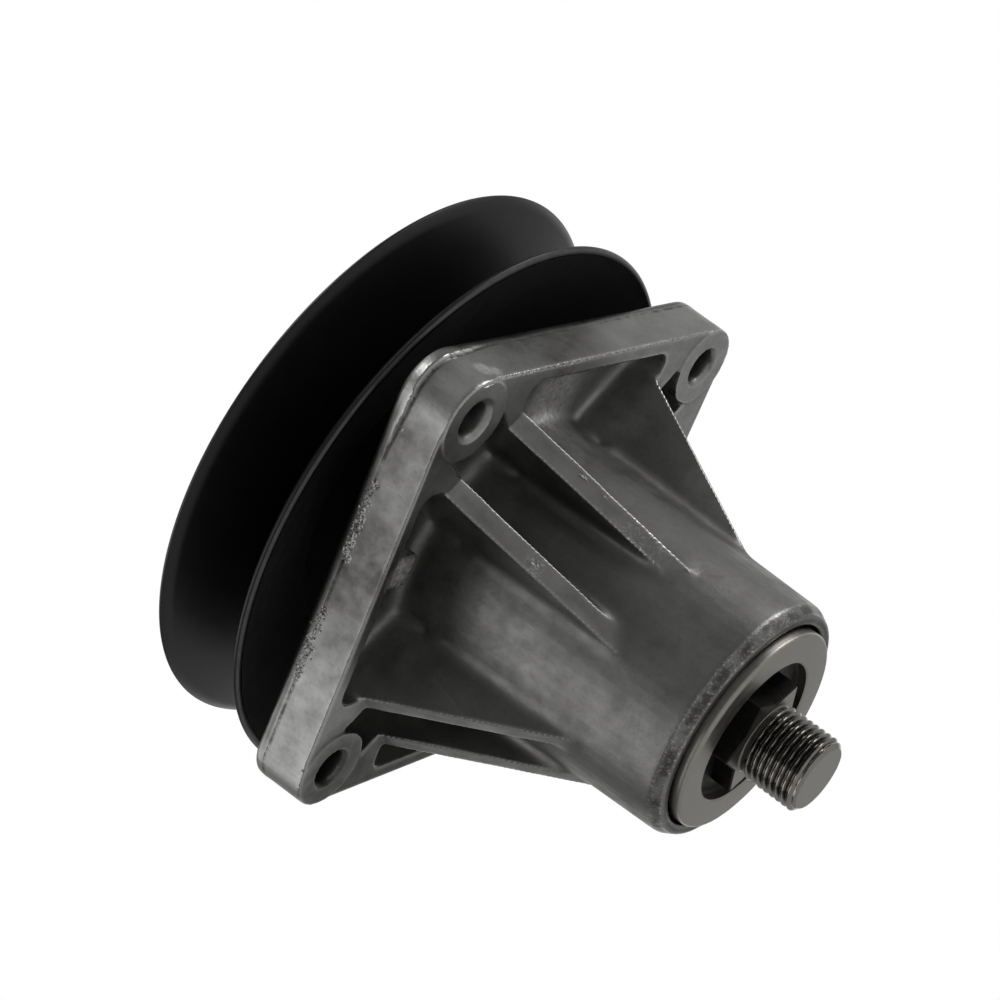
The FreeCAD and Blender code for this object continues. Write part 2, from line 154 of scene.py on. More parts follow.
# %% Base of the cast skin
cast_skin, casting, casting_shader, point = new_material("die_cast_aluminium")
noises = {}
for pattern, size_mm, detail, breakup in (
    ("clouds", 14.0, 5.0, 0.62),
    ("stains", 4.5, 4.0, 0.6),
    ("specks", 1.0, 4.0, 0.7),
    ("grain", 0.55, 3.0, 0.6),
):
    texture = add(
        casting, "TexNoise",
        {"Scale": per_mm / size_mm, "Detail": detail, "Roughness": breakup}, {"Vector": point},
    )
    noises[pattern] = texture.outputs["Fac"]
cloudy = add(casting, "MapRange", {"From Min": 0.36, "From Max": 0.66}, {"Value": noises["clouds"]})
base = add(
    casting, "Mix",
    {"data_type": "RGBA", MIX_FROM: linear("#828281"), MIX_TO: linear("#959594")},
    {MIX_FACTOR: cloudy.outputs["Result"]},
)
stained = add(
    casting, "MapRange", {"From Min": 0.46, "From Max": 0.72, "To Max": 0.22},
    {"Value": noises["stains"]},
)
specked = add(
    casting, "MapRange", {"From Min": 0.5, "From Max": 0.72, "To Max": 0.32},
    {"Value": noises["specks"]},
)
coats = [("#62615e", stained.outputs["Result"]), ("#5b5a57", specked.outputs["Result"])]
print("noises", list(noises), "coats", len(coats))

# %% [markdown]
# ## Painted shade, stains and darker patches
# The core, sunk behind the ribs and under the flange, gets a painted shade. The walls get darker patches,
# the end of the gate pocket a stain, the left boss and the far rim dirt, the near pocket painted shade,
# and the bolt holes are made darker. Such places could be painted on the mesh by hand, but the painting is
# lost when the mesh changes. Here each one is a ball in space, with a middle, a reach and sometimes a
# share, and noise breaks its coat up. The painted shade on the core thins out away from the axis, and more
# painted shade fills the hollows, where little light reaches.

# %% Painted shade on the core, and darker patches
def round_patch(spot, reach, core, most):
    """Share of a coat round a spot on the casting: most in its core, none beyond its reach in mm."""
    away = add(casting, "VectorMath", {"operation": "DISTANCE", 1: Vector(spot) * MM}, {0: point})
    near = add(
        casting, "MapRange",
        {"From Min": core * reach * MM, "From Max": reach * MM, "To Min": most, "To Max": 0.0},
        {"Value": away.outputs["Value"]},
    )
    return near.outputs["Result"]


# Darker patches on the near and side walls, and a stain at the end of the gate pocket.
darker_patches = {
    "middle of the near wall": ((-48.0, -7.0, 6.0), 27.0),
    "upper end of the near wall": ((-48.0, -31.0, 6.0), 13.0),
    "left half of the side wall": ((-14.0, -48.0, 7.0), 22.0),
    "end of the gate pocket": ((-10.0, -36.5, 6.0), 7.0),
}
# Painted shade on the core, sunk behind the ribs and under the flange: darkest near the axis, weaker near the
# deck.
shade_thins, shade_ends = 44.0, 66.0
radius = axis_distance(casting, point)
height = add(casting, "SeparateXYZ", {}, {0: point}).outputs["Z"]
near_axis_share = add(
    casting, "MapRange",
    {"From Min": shade_thins * MM, "From Max": shade_ends * MM, "To Min": 0.62, "To Max": 0.0},
    {"Value": radius},
)
below_deck = add(
    casting, "MapRange",
    {"From Min": -6.0 * MM, "From Max": -1.0 * MM, "To Min": 1.0, "To Max": 0.3}, {"Value": height},
)
core_shade = add(casting, "Math", MULTIPLY, {0: near_axis_share.outputs["Result"], 1: below_deck.outputs["Result"]})
coats.append(("#484745", core_shade.outputs[0]))
blotch = add(
    casting, "MapRange", {"From Min": 0.3, "From Max": 0.6, "To Max": 0.95},
    {"Value": noises["clouds"]},
)
for spot, reach in darker_patches.values():
    patch = round_patch(spot, reach, 0.2, 1.0)
    share = add(casting, "Math", MULTIPLY, {0: patch, 1: blotch.outputs["Result"]})
    coats.append(("#3c3a37", share.outputs[0]))
print("coats", len(coats))

# %% Blackened places and painted shade in hollows
# The floor of the near pocket gets painted shade, the left boss and the far rim dirt, and the casting round
# the bolt holes is only made darker.
blackened_spots = {
    "floor of the near pocket": ((-40.0, -2.0, 8.0), 22.0, 0.55),
    "boss of the left corner": ((-38.0, 40.0, -3.0), 14.0, 0.85),
    "left end of the far rim": ((-24.0, 44.0, -3.0), 14.0, 0.85),
    "middle of the far rim": ((-8.0, 46.0, -3.0), 14.0, 0.85),
    "near bolt hole": ((-39.2, -39.2, 6.0), 7.6, 0.8),
    "right bolt hole": ((39.2, -39.2, 6.0), 7.6, 0.8),
    "left bolt hole": ((-39.2, 39.2, 6.0), 7.6, 0.8),
}

# The outer walls beside the blackened places were wiped, but not the faces that lay on the deck.
flange_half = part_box("housing")[1].x / MM
wall_depth = 4.0
across = add(casting, "VectorMath", {"operation": "ABSOLUTE"}, {0: point})
across_axes = add(casting, "SeparateXYZ", {}, {0: across.outputs[0]}).outputs
farthest = add(casting, "Math", MAXIMUM, {0: across_axes["X"], 1: across_axes["Y"]})
outer_wall = add(
    casting, "Math", {"operation": "GREATER_THAN", 1: (flange_half - wall_depth) * MM},
    {0: farthest.outputs[0]},
).outputs[0]
inside = add(casting, "Math", {"operation": "SUBTRACT", 0: 1.0}, {1: outer_wall})
normal = add(casting, "TexCoord").outputs["Normal"]
facing = add(casting, "SeparateXYZ", {}, {0: normal})
to_deck = add(
    casting, "MapRange", {"From Min": -0.8, "From Max": -0.5, "To Min": 1.0, "To Max": 0.0},
    {"Value": facing.outputs["Z"]},
)
unwiped = add(casting, "Math", MAXIMUM, {0: inside.outputs[0], 1: to_deck.outputs["Result"]})
for spot, reach, most in blackened_spots.values():
    patch = round_patch(spot, reach, 0.5, most)
    share = add(casting, "Math", MULTIPLY, {0: patch, 1: unwiped.outputs[0]})
    coats.append(("#2b2a29", share.outputs[0]))

# Painted shade in the hollows: darker where the occlusion node finds the surface closed in, and in hollow
# corners.
hollow_mm = 14.0
open_share = add(
    casting, "AmbientOcclusion", {"samples": 6, "only_local": True, "Distance": hollow_mm * MM}
)
pocket = add(
    casting, "MapRange", {"From Min": 0.25, "From Max": 0.95, "To Min": 0.08, "To Max": 0.0},
    {"Value": open_share.outputs["AO"]},
)
corner = add(casting, "Attribute", {"attribute_name": "corner_shade"})
hollow_shade = add(casting, "Math", MAXIMUM, {0: pocket.outputs["Result"], 1: corner.outputs["Fac"]})
coats.append(("#3d3c3a", hollow_shade.outputs[0]))
print("coats", len(coats))

# %% [markdown]
# ## Parting line and painted pulley shade
# The two halves of the mould met a little below the flange's top, which left a broken line round the outer
# walls. Its dark coat is partly the line itself and partly a painted shadow under the flash and the step.
# It dips at the near corner, where one half sat a little off. Above the line the straight walls turn to the
# black pulley, and their dark coat is a painted shadow and reflection of the pulley. Both follow from a
# point's height, so nothing has to be drawn.

# %% Parting line and painted pulley shade
parting_level = 9.9
line_below = 0.35
corner_dip = 1.1
near_corner = (-math.sqrt(0.5), -math.sqrt(0.5), 0.0)
dip_from, dip_full = 54.0, 61.0
to_corner = add(
    casting, "VectorMath", {"operation": "DOT_PRODUCT", 1: Vector(near_corner)}, {0: point}
)
dip = add(
    casting, "MapRange",
    {"From Min": dip_from * MM, "From Max": dip_full * MM, "To Max": corner_dip * MM},
    {"Value": to_corner.outputs["Value"]},
)
lifted = add(casting, "Math", {"operation": "ADD"}, {0: height, 1: dip.outputs["Result"]})
from_line = add(
    casting, "Math", {"operation": "SUBTRACT", 1: (parting_level - line_below) * MM},
    {0: lifted.outputs[0]},
)
off_line = add(casting, "Math", {"operation": "ABSOLUTE"}, {0: from_line.outputs[0]})
line = add(
    casting, "MapRange",
    {"From Min": 0.1 * MM, "From Max": 0.5 * MM, "To Min": 0.8, "To Max": 0.0},
    {"Value": off_line.outputs[0]},
)
broken = add(casting, "MapRange", {"From Min": 0.42, "From Max": 0.6}, {"Value": noises["stains"]})
# The dark line is partly the parting line itself and partly a painted shadow under the flash and the step.
on_wall = add(casting, "Math", MULTIPLY, {0: line.outputs["Result"], 1: outer_wall})
parting = add(casting, "Math", MULTIPLY, {0: on_wall.outputs[0], 1: broken.outputs["Result"]})
coats.append(("#2b2a28", parting.outputs[0]))

# Painted shadow and reflection of the black pulley on the straight walls above the line.
nearest = add(casting, "Math", {"operation": "MINIMUM"}, {0: across_axes["X"], 1: across_axes["Y"]})
straight = add(
    casting, "MapRange",
    {"From Min": 36.0 * MM, "From Max": 42.0 * MM, "To Min": 0.8, "To Max": 0.0},
    {"Value": nearest.outputs[0]},
)
above = add(
    casting, "MapRange",
    {"From Min": (parting_level + 0.1) * MM, "From Max": (parting_level + 0.7) * MM}, {"Value": height},
)
pulley_shade = add(casting, "Math", MULTIPLY, {0: straight.outputs["Result"], 1: above.outputs["Result"]})
coats.append(("#232322", pulley_shade.outputs[0]))
print("coats", len(coats))

# %% [markdown]
# ## Nose, rubbed edges, scrapes and painted highlights
# The nose stands closest to the blade: its rim is pitted and its mouth is darker. Where the casting was
# rubbed or scraped, bright metal shows. A mesh attribute made later, edge_wear, says where the surface
# bulges. In a few rubbed spots flecks of the grain shine there, and all edges are a little paler than the
# rest, partly from wear and partly as a painted highlight. The pad inside the near rim is lightened as a
# painted highlight.

# %% Nose
nose_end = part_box("housing")[0].z / MM
nose = add(
    casting, "MapRange",
    {"From Min": (nose_end + 1.6) * MM, "From Max": (nose_end + 3.4) * MM, "To Min": 0.9, "To Max": 0.0},
    {"Value": height},
).outputs["Result"]
pits = add(
    casting, "MapRange", {"From Min": 0.38, "From Max": 0.52, "To Max": 0.85},
    {"Value": noises["stains"]},
)
pitted = add(casting, "Math", MULTIPLY, {0: nose, 1: pits.outputs["Result"]})
# The inner edge of the nose, its mouth, is made darker.
mouth = add(
    casting, "MapRange",
    {"From Min": 24.2 * MM, "From Max": 25.3 * MM, "To Min": 0.9, "To Max": 0.0}, {"Value": radius},
).outputs["Result"]
dark_mouth = add(casting, "Math", MULTIPLY, {0: nose, 1: mouth})
coats += [("#2a2927", pitted.outputs[0]), ("#171615", dark_mouth.outputs[0])]
outside_mouth = add(casting, "Math", {"operation": "SUBTRACT", 0: 1.0}, {1: mouth})
scuff = add(casting, "Math", MULTIPLY, {0: nose, 1: outside_mouth.outputs[0]})
print("coats", len(coats))

# %% Rubbed edges and scrapes
rubbed_spots = {
    "end of an upper rib": ((-13.5, -27.5, -29.0), 10.0),
    "side of a left rib": ((-30.6, -18.1, -18.0), 3.0),
    "deck edge at the corner": ((-30.0, -47.5, 0.6), 9.0),
    "rim by the gate": ((-14.0, -45.0, 0.4), 7.0),
}
# Scraped faces show bright metal, but the pad inside the near rim is lightened as a painted highlight where
# it faces the light.
scrapes_and_pad_highlight = {
    "pad inside the near rim": ((-41.0, -6.0, 1.3), 6.0, 0.9),
    "smear on the side wall": ((-37.4, -47.9, 3.7), 2.3, 0.8),
    "end of the smear": ((-35.2, -47.9, 2.4), 1.8, 0.7),
    "web by the gate": ((1.0, -33.0, 6.5), 10.0, 0.75),
    "foot of the gate": ((0.0, -28.6, 7.0), 3.6, 1.0),
}
wear = add(casting, "Attribute", {"attribute_name": "edge_wear"}).outputs["Fac"]
for spot, reach in rubbed_spots.values():
    patch = round_patch(spot, reach, 0.3, 0.9)
    scuff = add(casting, "Math", MAXIMUM, {0: scuff.outputs[0], 1: patch})
edge_scuff = add(casting, "Math", MULTIPLY, {0: scuff.outputs[0], 1: wear})
flecks = add(casting, "MapRange", {"From Min": 0.5, "From Max": 0.62}, {"Value": noises["grain"]})
sparkle = add(casting, "Math", MULTIPLY, {0: edge_scuff.outputs[0], 1: flecks.outputs["Result"]})
# All edges are a little paler, partly from wear and partly as a painted highlight.
wear_and_edge_highlight = add(casting, "Math", {"operation": "MULTIPLY", 1: 0.14}, {0: wear})
bright = add(casting, "Math", MAXIMUM, {0: sparkle.outputs[0], 1: wear_and_edge_highlight.outputs[0]})
scratchy = add(
    casting, "MapRange", {"From Min": 0.36, "From Max": 0.6, "To Min": 0.35},
    {"Value": noises["specks"]},
)
for spot, reach, most in scrapes_and_pad_highlight.values():
    patch = round_patch(spot, reach, 0.5, most)
    uneven = add(casting, "Math", MULTIPLY, {0: patch, 1: scratchy.outputs["Result"]})
    bright = add(casting, "Math", MAXIMUM, {0: bright.outputs[0], 1: uneven.outputs[0]})
coats.append(("#dcdbd8", bright.outputs[0]))
print("coats", len(coats))

# %% [markdown]
# ## Coats, shine and grain
# Now the coats go on in their order, one mix node each. The skin carries some oxide, so it isn't fully
# metallic. Worn edges are smoother than the rest, and two bumps give the shallow waves and the fine
# grain of the mould's skin.

# %% Coats, shine and grain
coloured = base.outputs[MIX_RESULT]
for colour, share in coats:
    coat = add(
        casting, "Mix", {"data_type": "RGBA", MIX_TO: linear(colour)},
        {MIX_FACTOR: share, MIX_FROM: coloured},
    )
    coloured = coat.outputs[MIX_RESULT]
rough = add(
    casting, "MapRange", {"From Min": 0.3, "From Max": 0.7, "To Min": 0.36, "To Max": 0.54},
    {"Value": noises["stains"]},
)
polished = add(
    casting, "Math", {"operation": "MULTIPLY_ADD", 1: -0.2}, {0: wear, 2: rough.outputs["Result"]}
)
waves = add(casting, "Bump", {"Strength": 0.14, "Distance": 0.25 * MM}, {"Height": noises["stains"]})
grain_bump = add(
    casting, "Bump", {"Strength": 0.45, "Distance": 0.08 * MM},
    {"Height": noises["grain"], "Normal": waves.outputs["Normal"]},
)
casting_shader.inputs["Metallic"].default_value = 0.9
casting.links.new(coloured, casting_shader.inputs["Base Color"])
casting.links.new(polished.outputs[0], casting_shader.inputs["Roughness"])
casting.links.new(grain_bump.outputs["Normal"], casting_shader.inputs["Normal"])
print("made", cast_skin.name, "with", len(coats), "coats")

# %% [markdown]
# ## Casting with soft edges
# A casting has no knife edges: the mould and the tumbling barrel round all of them. A bevel modifier
# fails on a model with so many meeting faces, so the solid is rebuilt from small cubes of volume, whose
# skin can be smoothed later. The helpers read a mesh as arrays, which is far quicker than a loop.

# %% Casting rebuilt from volume
def welded_copy(node, name):
    """A new object with the node's mesh, its split vertices joined again."""
    mesh = frame["nodes"][node].data.copy()
    mesh.materials.clear()
    edit = bmesh.new()
    edit.from_mesh(mesh)
    weld_mm = 0.002
    bmesh.ops.remove_doubles(edit, verts=edit.verts, dist=weld_mm * MM)
    edit.to_mesh(mesh)
    edit.free()
    piece = bpy.data.objects.new(name, mesh)
    bpy.context.scene.collection.objects.link(piece)
    return piece


def bake_modifiers(piece):
    """Replace the piece's mesh by what its modifiers make of it."""
    graph = bpy.context.evaluated_depsgraph_get()
    mesh = bpy.data.meshes.new_from_object(piece.evaluated_get(graph))
    piece.modifiers.clear()
    piece.data = mesh
    return mesh


def columns(items, field, kind, width):
    """A property of every mesh element as one array."""
    values = np.empty(len(items) * width, kind)
    items.foreach_get(field, values)
    return values.reshape(-1, width)


def surface_arrays(mesh):
    """Places, normals, edge ends and neighbour counts of a mesh."""
    places = columns(mesh.vertices, "co", np.float32, 3).astype(float)
    normals = columns(mesh.vertex_normals, "vector", np.float32, 3).astype(float)
    ends = columns(mesh.edges, "vertices", np.int32, 2)
    counts = np.maximum(np.bincount(ends.ravel(), minlength=len(places)), 1)
    return places, normals, ends, counts


def neighbour_mean(values, ends, counts):
    """The mean of each vertex's neighbours."""
    first, second = ends[:, 0], ends[:, 1]
    total = np.empty_like(values)
    for axis in range(values.shape[1]):
        column = values[:, axis]
        total[:, axis] = np.bincount(first, column[second], len(values))
        total[:, axis] += np.bincount(second, column[first], len(values))
    return total / counts[:, None]


voxel = 0.34 * MM
housing = welded_copy("housing", "housing_casting")
remesh = housing.modifiers.new("volume", "REMESH")
remesh.mode = "VOXEL"
remesh.voxel_size = voxel
rebuilt = bake_modifiers(housing)
print("faces from volume", len(rebuilt.polygons))

# %% [markdown]
# ## Cast fillets and a mould step
# Melt doesn't fill sharp inner corners, so a mould has round ones, and here they are larger than in the
# solid. A fillet tool would need every edge by name. Instead each hollow point moves again and again
# towards the mean of its neighbours, and the fillets' ends are then blended in. At the near corner one
# half of the mould sat a little off: its wall stands out above the parting line and leans back to the top.

# %% Cast fillets and a mould step
mouth_level = -44.0
deck_margin = 1.0
fillet_rounds = 110
stride = 0.5
blend_rings = 8


def fill_corners(mesh, cell, rounds):
    """Grow cast fillets where the surface is hollow, but not on the deck's faces or in the mouth."""
    hollow_from, moved_from, sharp_from = 0.01 * cell, 0.15 * cell, -0.1 * cell
    places, normals, ends, counts = surface_arrays(mesh)
    level = places[:, 2] / MM
    cast = (np.abs(level) > deck_margin) & (level > mouth_level)
    for _ in range(rounds):
        shift = neighbour_mean(places, ends, counts) - places
        hollow = cast & ((shift * normals).sum(1) > hollow_from)
        places[hollow] += stride * shift[hollow]
    start = columns(mesh.vertices, "co", np.float32, 3)
    weight = (np.abs(places - start).max(1, keepdims=True) > moved_from).astype(float)
    for _ in range(blend_rings):
        weight = np.maximum(weight, neighbour_mean(weight, ends, counts))
    for _ in range(rounds // 4):
        shift = neighbour_mean(places, ends, counts) - places
        blunt = (shift * normals).sum(1, keepdims=True) > sharp_from
        places += stride * weight * blunt * shift
    mesh.vertices.foreach_set("co", places.astype(np.float32).ravel())
    mesh.update()


corner_round = 8.9
flange_top = 12.4
stand_out = 0.9
bolt_room = 7.0
step_waves = ((0.12, 0.43, 2.0), (0.08, 1.27, 1.0), (0.05, 3.9, 0.0))


def step_at_corner(mesh):
    """Push the wall above the parting line out at the near corner, less and less up to the top."""
    places = columns(mesh.vertices, "co", np.float32, 3)
    along = (places[:, 0] - places[:, 1]) / MM
    outward = places @ np.array(near_corner, np.float32) / MM
    on_corner = np.clip((outward - dip_from) / (dip_full - dip_from), 0, 1)
    bolt_axis = -flange_half + corner_round
    from_bolt = np.hypot(places[:, 0] / MM - bolt_axis, places[:, 1] / MM - bolt_axis)
    ragged = sum(size * np.sin(pace * along + lead) for size, pace, lead in step_waves)
    level = places[:, 2] / MM
    line_level = parting_level - corner_dip * on_corner + ragged * on_corner
    rise = np.clip((level - line_level) / (flange_top - line_level), 0, 1)
    push = stand_out * on_corner * (1 - rise) * (level > line_level) * (from_bolt > bolt_room)
    places += (push * MM)[:, None] * np.array(near_corner, np.float32)
    mesh.vertices.foreach_set("co", places.astype(np.float32).ravel())
    mesh.update()


fill_corners(rebuilt, voxel, fillet_rounds)
step_at_corner(rebuilt)
print("fillets grown in", fillet_rounds, "rounds, step of", stand_out, "mm")

# %% [markdown]
# ## Worn edges, and fewer triangles
# A light smoothing rounds all edges. How far a point then stands out from its neighbours tells bulging
# edges, which wear bright and get a painted highlight, from hollow corners, which get a painted shade, and
# two attributes hand both to the skin's coats. A decimate step takes away the triangles that the flat
# faces don't need.

# %% Worn edges, and fewer triangles
def write_edge_masks(mesh, cell):
    """Attributes from the bend of the surface: edge_wear where it bulges, corner_shade where it is hollow."""
    places, normals, ends, counts = surface_arrays(mesh)
    bend = ((places - neighbour_mean(places, ends, counts)) * normals).sum(1, keepdims=True) / cell
    spread_rounds = 3
    for _ in range(spread_rounds):
        bend = 0.5 * bend + 0.5 * neighbour_mean(bend, ends, counts)
    full_wear = 0.06
    full_shade = 0.12
    for name, mask in (("edge_wear", bend / full_wear), ("corner_shade", -bend / full_shade)):
        layer = mesh.attributes.new(name, "FLOAT", "POINT")
        layer.data.foreach_set("value", np.clip(mask, 0, 1).astype(np.float32).ravel())


triangle_budget = 195000
soften = housing.modifiers.new("soft_edges", "SMOOTH")
soften.factor = 0.5
soften.iterations = 3
dense = bake_modifiers(housing)
write_edge_masks(dense, voxel)
thin_out = housing.modifiers.new("thin_out", "DECIMATE")
thin_out.ratio = triangle_budget / (2 * len(dense.polygons))
cast_mesh = bake_modifiers(housing)
cast_mesh.shade_smooth()
cast_mesh.materials.append(cast_skin)
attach(housing, "housing")
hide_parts("housing")
cast_mesh.calc_loop_triangles()
print("dense faces", len(dense.polygons), "kept triangles", len(cast_mesh.loop_triangles))

# %% [markdown]
# ## Flash on the parting line
# Where the two halves of the mould met, a little melt squeezed out and was torn off, which left a ragged
# lip round the outer walls. It is thinner than the cells that the casting was rebuilt from, so it is a
# strip of its own: a small four-cornered section walked round the square, its reach set by noise.

# %% Flash on the parting line
def square_walk(half, corner, step):
    """Places and outward directions round a square with round corners."""
    straight = half - corner
    stations = [((half, y), (1.0, 0.0)) for y in np.arange(-straight, straight, step)]
    for turn in np.arange(0, math.pi / 2, step / corner):
        out = (math.cos(turn), math.sin(turn))
        stations.append(((straight + corner * out[0], straight + corner * out[1]), out))
    walk = []
    for quarter in range(4):
        spin = Matrix.Rotation(quarter * math.pi / 2, 2)
        walk += [(spin @ Vector(place), spin @ Vector(out)) for place, out in stations]
    return walk


def mesh_piece(name, points, faces):
    """A new object from points in mm."""
    mesh = bpy.data.meshes.new(name)
    mesh.from_pydata([[v * MM for v in point] for point in points], [], faces)
    piece = bpy.data.objects.new(name, mesh)
    bpy.context.scene.collection.objects.link(piece)
    return piece


walk_step = 0.35
least_reach, ragged_reach = 0.02, 0.16
walk = square_walk(flange_half, corner_round, walk_step)
points, faces = [], []
for index, (place, out) in enumerate(walk):
    coarse = noise.noise(Vector((place.x, place.y, 3.1)) * 0.9)
    fine = noise.noise(Vector((place.x, place.y, 8.7)) * 2.3)
    reach = least_reach + ragged_reach * max(0.0, coarse + 0.6 * fine)
    section = ((-0.3, -0.3), (reach, -0.1), (0.7 * reach, 0.06), (-0.3, 0.28))
    points += [(place.x + out.x * far, place.y + out.y * far, parting_level + up) for far, up in section]
    first, after = 4 * index, 4 * ((index + 1) % len(walk))
    for side in range(4):
        turn = (side + 1) % 4
        faces.append((first + side, after + side, after + turn, first + turn))
flash = mesh_piece("parting_flash", points, faces)
flash.data.materials.append(cast_skin)
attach(flash, "housing")
print("flash faces", len(faces))

# %% [markdown]
# ## Burrs and scrapes
# The photo shows bright nicks on the rib crests, scrapes on the near wall, two stretches where the flash
# was torn away, and a sparkling burr along one deck edge. Painting them into the skin would leave them
# flat, so each is a low tent of metal: two ends and two sides that dip just into the skin, and a ridge.
# The torn stretches are a band of many small tents at all angles. Most show fresh metal, which is paler
# and smoother than the cast skin. Its material is the first of those whose tone drifts with one noise.

# %% Fresh aluminium
def mottled(name, tones, spot_mm, detail, breakup=0.5, rough=()):
    """A new material whose tone drifts between two, and its roughness too if two are given."""
    made, tree, shader, place = new_material(name)
    spots = add(
        tree, "TexNoise",
        {"Scale": per_mm / spot_mm, "Detail": detail, "Roughness": breakup}, {"Vector": place},
    ).outputs["Fac"]
    dark, light = tones
    tone = add(
        tree, "Mix", {"data_type": "RGBA", MIX_FROM: linear(dark), MIX_TO: linear(light)},
        {MIX_FACTOR: spots},
    )
    tree.links.new(tone.outputs[MIX_RESULT], shader.inputs["Base Color"])
    if rough:
        uneven = add(
            tree, "MapRange",
            {"From Min": 0.3, "From Max": 0.7, "To Min": rough[0], "To Max": rough[1]}, {"Value": spots},
        )
        tree.links.new(uneven.outputs["Result"], shader.inputs["Roughness"])
    return made, tree, shader, place, spots


tear_mm = 0.4
scraped, _, scraped_shader, _, _ = mottled("scraped_aluminium", ("#8f8e8c", "#cfcecb"), tear_mm, 2.0)
scraped_shader.inputs["Metallic"].default_value = 1.0
scraped_shader.inputs["Roughness"].default_value = 0.34
print("made", scraped.name)

# %% Burrs and scrapes
def tent(start, end, outward, width, lift):
    """Points and faces of one low tent between two places."""
    widest, ridge_from, ridge_to, ridge_fall, sink_mm = 0.45, 0.3, 0.65, 0.7, 0.08
    start, end, outward = Vector(start), Vector(end), Vector(outward).normalized()
    across = (end - start).cross(outward).normalized() * (width / 2)
    middle = start.lerp(end, widest)
    sink = outward * sink_mm
    corners = [start - sink, middle + across - sink, end - sink, middle - across - sink]
    low_end = start.lerp(end, ridge_to) + outward * lift * ridge_fall
    ridge = [start.lerp(end, ridge_from) + outward * lift, low_end]
    faces = [(0, 1, 4), (1, 5, 4), (1, 2, 5), (2, 3, 5), (3, 4, 5), (3, 0, 4), (0, 3, 2, 1)]
    return [tuple(corner) for corner in corners + ridge], faces


near_wall = (-1.0, 0.0, 0.0)
crest = (-0.636, -0.636, -0.436)
deck_face = (0.0, 0.0, -1.0)
marks = [
    ((-48.03, -34.6, 8.1), (-48.05, -33.0, 8.7), near_wall, 0.7, 0.16),
    ((-48.06, 23.5, 9.8), (-48.06, 25.2, 9.4), near_wall, 0.5, 0.14),
    ((-47.96, 20.2, 6.9), (-47.95, 21.2, 6.1), near_wall, 0.3, 0.1),
    ((-47.9, -23.1, 5.1), (-47.77, -21.6, 0.7), near_wall, 0.14, 0.05),
    ((-41.8, -46.6, 0.0), (-36.8, -47.3, 0.1), deck_face, 0.5, 0.2),
    ((-19.9, -32.9, -13.2), (-18.2, -32.3, -15.0), crest, 0.5, 0.15),
    ((-19.0, -33.3, -13.6), (-18.7, -31.7, -15.6), crest, 0.4, 0.15),
    ((-17.6, -31.2, -18.1), (-16.9, -30.5, -19.7), crest, 0.35, 0.12),
    ((-31.4, -18.4, -16.6), (-30.2, -17.8, -18.8), crest, 0.35, 0.12),
    ((-30.4, -18.8, -17.8), (-30.2, -17.4, -19.2), crest, 0.3, 0.12),
    ((-10.9, -25.3, -36.4), (-10.0, -24.4, -38.4), crest, 0.4, 0.12),
]
dice = random.Random(7)
edge_from, edge_to, edge_middle, edge_level = -37.0, 40.0, -47.72, 0.42
edge_slant = (0.0, -0.7, -0.7)
edge_x = edge_from
while edge_x < edge_to:
    length = dice.uniform(0.4, 2.4)
    edge_y = edge_middle + dice.uniform(-0.06, 0.06)
    width, lift = dice.uniform(0.2, 0.5), dice.uniform(0.04, 0.16)
    start, end = (edge_x, edge_y, edge_level), (edge_x + length, edge_y, edge_level)
    marks.append((start, end, edge_slant, width, lift))
    edge_x += length + dice.uniform(0.1, 2.2)
fresh = [True] * len(marks)
torn_stretches = {"upper": (-22.3, -4.5), "lower": (5.6, 22.4)}
crumbs_per_mm = 13
crumb_level, crumb_spread = parting_level - 0.3, 0.45
crumb_depth = 0.04
fresh_share = 0.75
for low, high in torn_stretches.values():
    for _ in range(int(crumbs_per_mm * (high - low))):
        along, level = dice.uniform(low, high), crumb_level + dice.gauss(0.0, crumb_spread)
        middle = Vector((-flange_half + crumb_depth, along, level))
        turn = dice.uniform(0, math.tau)
        reach = Vector((0.0, math.cos(turn), math.sin(turn))) * dice.uniform(0.3, 0.9)
        width, lift = dice.uniform(0.5, 1.1), dice.uniform(0.06, 0.26)
        marks.append((middle - reach, middle + reach, near_wall, width, lift))
        fresh.append(dice.random() < fresh_share)
points, faces, skin_of_face = [], [], []
CAST, SCRAPED = range(2)
for mark, is_fresh in zip(marks, fresh):
    corners, sides = tent(*mark)
    faces += [tuple(len(points) + corner for corner in side) for side in sides]
    skin_of_face += [SCRAPED if is_fresh else CAST] * len(sides)
    points += corners
burrs = mesh_piece("casting_burrs", points, faces)
burrs.data.materials.append(cast_skin)
burrs.data.materials.append(scraped)
burrs.data.polygons.foreach_set("material_index", np.array(skin_of_face, np.int32))
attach(burrs, "housing")
print("marks", len(marks), "faces", len(faces))

# %% [markdown]
# ## Turned shapes
# The shaft and the pulley are turned about one axis, so each is a grid: rows along the outline, and
# columns round the axis. Because a row's radius may change with the angle, the same grid also makes the
# six-pointed star, the flats under the pulley and the helical threads, all in one closed skin.

# %% Grid round the shaft's axis
sharp_deg = 32


